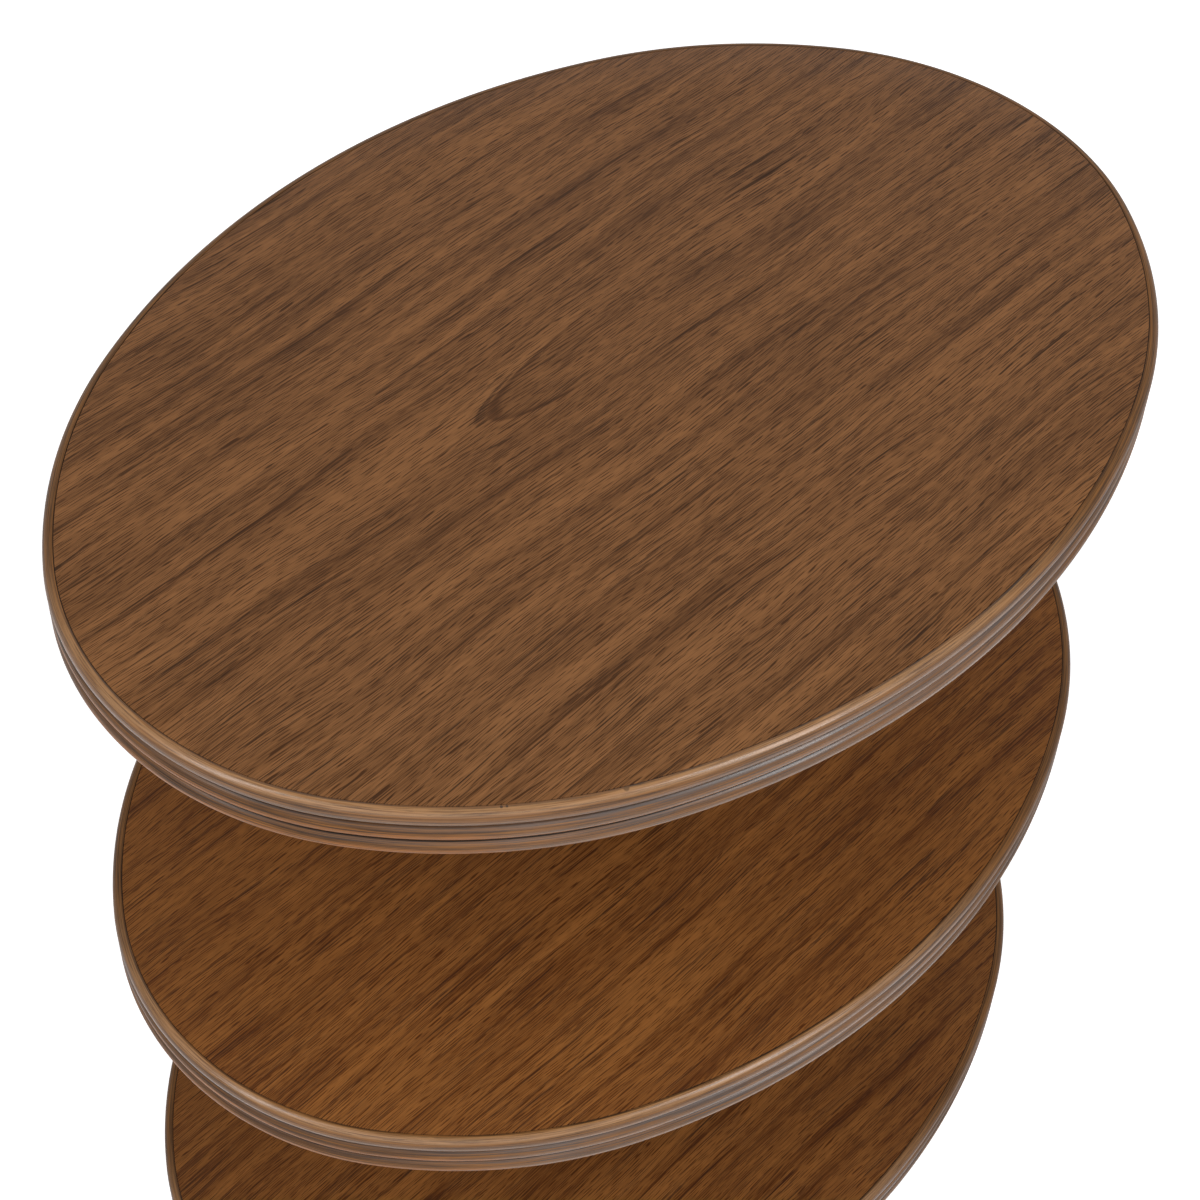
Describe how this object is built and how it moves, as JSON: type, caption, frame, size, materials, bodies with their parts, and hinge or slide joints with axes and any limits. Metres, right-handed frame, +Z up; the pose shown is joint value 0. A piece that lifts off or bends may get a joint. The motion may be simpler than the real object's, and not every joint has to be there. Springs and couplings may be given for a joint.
{
  "type": "oval side table",
  "caption": "Oval side table with equal tiers, reeded solid edging and a figured wood veneer, on a central turned column and short turned feet.",
  "frame": {"origin": "on the floor, under the middle of the oval", "axes": "+X along the length of the oval, +Y along its width, +Z up"},
  "size_m": [0.61, 0.443, 0.66],
  "materials": {
    "walnut_veneer": "satin lacquered walnut veneer",
    "backing_veneer": "plain sealed walnut veneer",
    "core_board": "bare board",
    "reeded_walnut": "rubbed walnut with dark glaze in the grooves",
    "turned_walnut": "satin lacquered turned walnut",
    "beech": "bare beech",
    "plated_steel": "zinc plated",
    "brass": "plain brass",
    "nylon": "moulded dark nylon"
  },
  "bodies": {
    "root": {"bottom_core": "core_board", "bottom_face_veneer": "walnut_veneer", "bottom_backing_veneer": "backing_veneer", "middle_core": "core_board", "middle_face_veneer": "walnut_veneer", "middle_backing_veneer": "backing_veneer", "top_core": "core_board", "top_face_veneer": "walnut_veneer", "top_backing_veneer": "backing_veneer", "bottom_edging_right_end": "reeded_walnut", "bottom_edging_back_right": "reeded_walnut", "bottom_edging_back": "reeded_walnut", "bottom_edging_back_left": "reeded_walnut", "bottom_edging_left_end": "reeded_walnut", "bottom_edging_front_left": "reeded_walnut", "bottom_edging_front": "reeded_walnut", "bottom_edging_front_right": "reeded_walnut", "middle_edging_right_end": "reeded_walnut", "middle_edging_back_right": "reeded_walnut", "middle_edging_back": "reeded_walnut", "middle_edging_back_left": "reeded_walnut", "middle_edging_left_end": "reeded_walnut", "middle_edging_front_left": "reeded_walnut", "middle_edging_front": "reeded_walnut", "middle_edging_front_right": "reeded_walnut", "top_edging_right_end": "reeded_walnut", "top_edging_back_right": "reeded_walnut", "top_edging_back": "reeded_walnut", "top_edging_back_left": "reeded_walnut", "top_edging_left_end": "reeded_walnut", "top_edging_front_left": "reeded_walnut", "top_edging_front": "reeded_walnut", "top_edging_front_right": "reeded_walnut", "lower_column": "turned_walnut", "upper_column": "turned_walnut", "mounting_plate": "turned_walnut", "plate_screws": "plated_steel", "column_dowels": "beech", "tie_rod": "plated_steel", "tie_washer": "plated_steel", "tie_nut": "plated_steel", "tee_nut": "plated_steel", "foot_front_left": "turned_walnut", "foot_front_right": "turned_walnut", "foot_back_left": "turned_walnut", "foot_back_right": "turned_walnut", "hanger_bolts": "plated_steel", "insert_nuts": "brass", "foot_glides": "nylon", "glide_nails": "plated_steel"}
  },
  "joints": []
}
